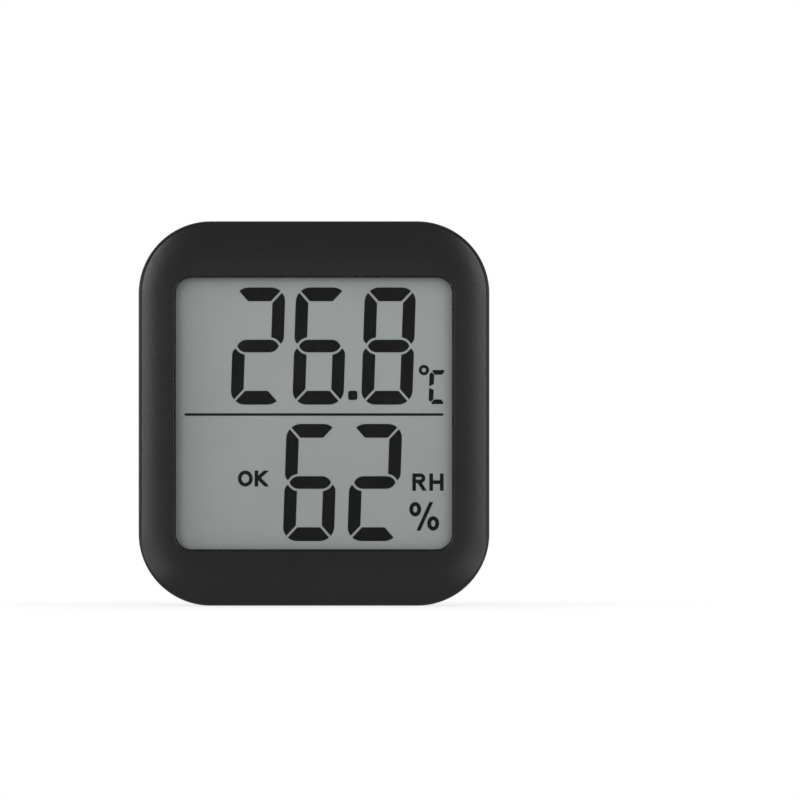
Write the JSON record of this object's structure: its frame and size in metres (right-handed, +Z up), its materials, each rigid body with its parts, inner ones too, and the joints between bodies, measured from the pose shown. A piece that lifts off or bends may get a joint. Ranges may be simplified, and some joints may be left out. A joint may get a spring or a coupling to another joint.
{
  "type": "temperature humidity sensor",
  "caption": "Pebble-shaped room thermometer and hygrometer: segment display behind a clear pane, vented back, pull-off battery door, fold-out stand and hanging hole.",
  "frame": {"origin": "under the middle of the bottom edge, half way between front face and back", "axes": "+Z up the face, +X to the right seen from the front, +Y from front face to back"},
  "size_m": [0.068, 0.015, 0.0745],
  "materials": {
    "casing": "fine matt moulded black",
    "pane": "clear and glossy",
    "film": "clear film",
    "clear_glass": "clear",
    "display_ground": "matt grey behind the segments",
    "reflector": "satin grey film",
    "segment_ink": "dark segments",
    "tape": "black adhesive foam",
    "strip": "striped silicone rubber",
    "board": "green solder mask",
    "radio_board": "blue solder mask",
    "chip": "moulded black",
    "chip_ceramic": "tan ceramic",
    "bright_metal": "plated steel",
    "nickel": "nickel plated",
    "copper": "bare copper",
    "switch_stem": "pale plastic",
    "sleeve": "printed sleeve, plain",
    "red_wire": "red insulation",
    "black_wire": "black insulation"
  },
  "bodies": {
    "housing": {"front_bezel": "casing", "window_tape": "tape", "display_window": "pane", "front_polariser": "film", "front_glass": "clear_glass", "temperature_digits": "segment_ink", "humidity_digits": "segment_ink", "display_marks": "segment_ink", "rear_glass": "display_ground", "reflector": "reflector", "connector_strip": "strip", "main_board": "board", "radio_board": "radio_board", "radio_chip": "chip", "radio_crystal": "bright_metal", "radio_antenna": "copper", "display_driver": "chip", "sensor_chip": "chip", "capacitors": "chip_ceramic", "resistors": "chip", "switch_body": "chip", "board_screws": "bright_metal", "case_screws": "bright_metal", "rear_housing": "casing", "lower_cell": "bright_metal", "lower_sleeve": "sleeve", "upper_cell": "bright_metal", "upper_sleeve": "sleeve", "bridge_contact": "nickel", "bridge_spring": "nickel", "positive_contact": "nickel", "negative_contact": "nickel", "negative_spring": "nickel", "red_lead": "red_wire", "black_lead": "black_wire"},
    "door": {"battery_door": "casing"},
    "stand": {"fold_stand": "casing"},
    "button": {"mode_button": "casing", "switch_plunger": "switch_stem"}
  },
  "joints": [
    {"name": "door_pull", "type": "slide", "parent": "housing", "child": "door", "axis": [0, 1, 0], "range_m": [0, 0.02]},
    {"name": "stand_hinge", "type": "hinge", "parent": "door", "child": "stand", "pos_m": [0, 0.0063, 0.0322], "axis": [1, 0, 0], "range_deg": [0, 50]},
    {"name": "button_press", "type": "slide", "parent": "housing", "child": "button", "axis": [0, -1, 0], "range_m": [0, 0.0005], "stiffness_N_per_m": 300}
  ]
}
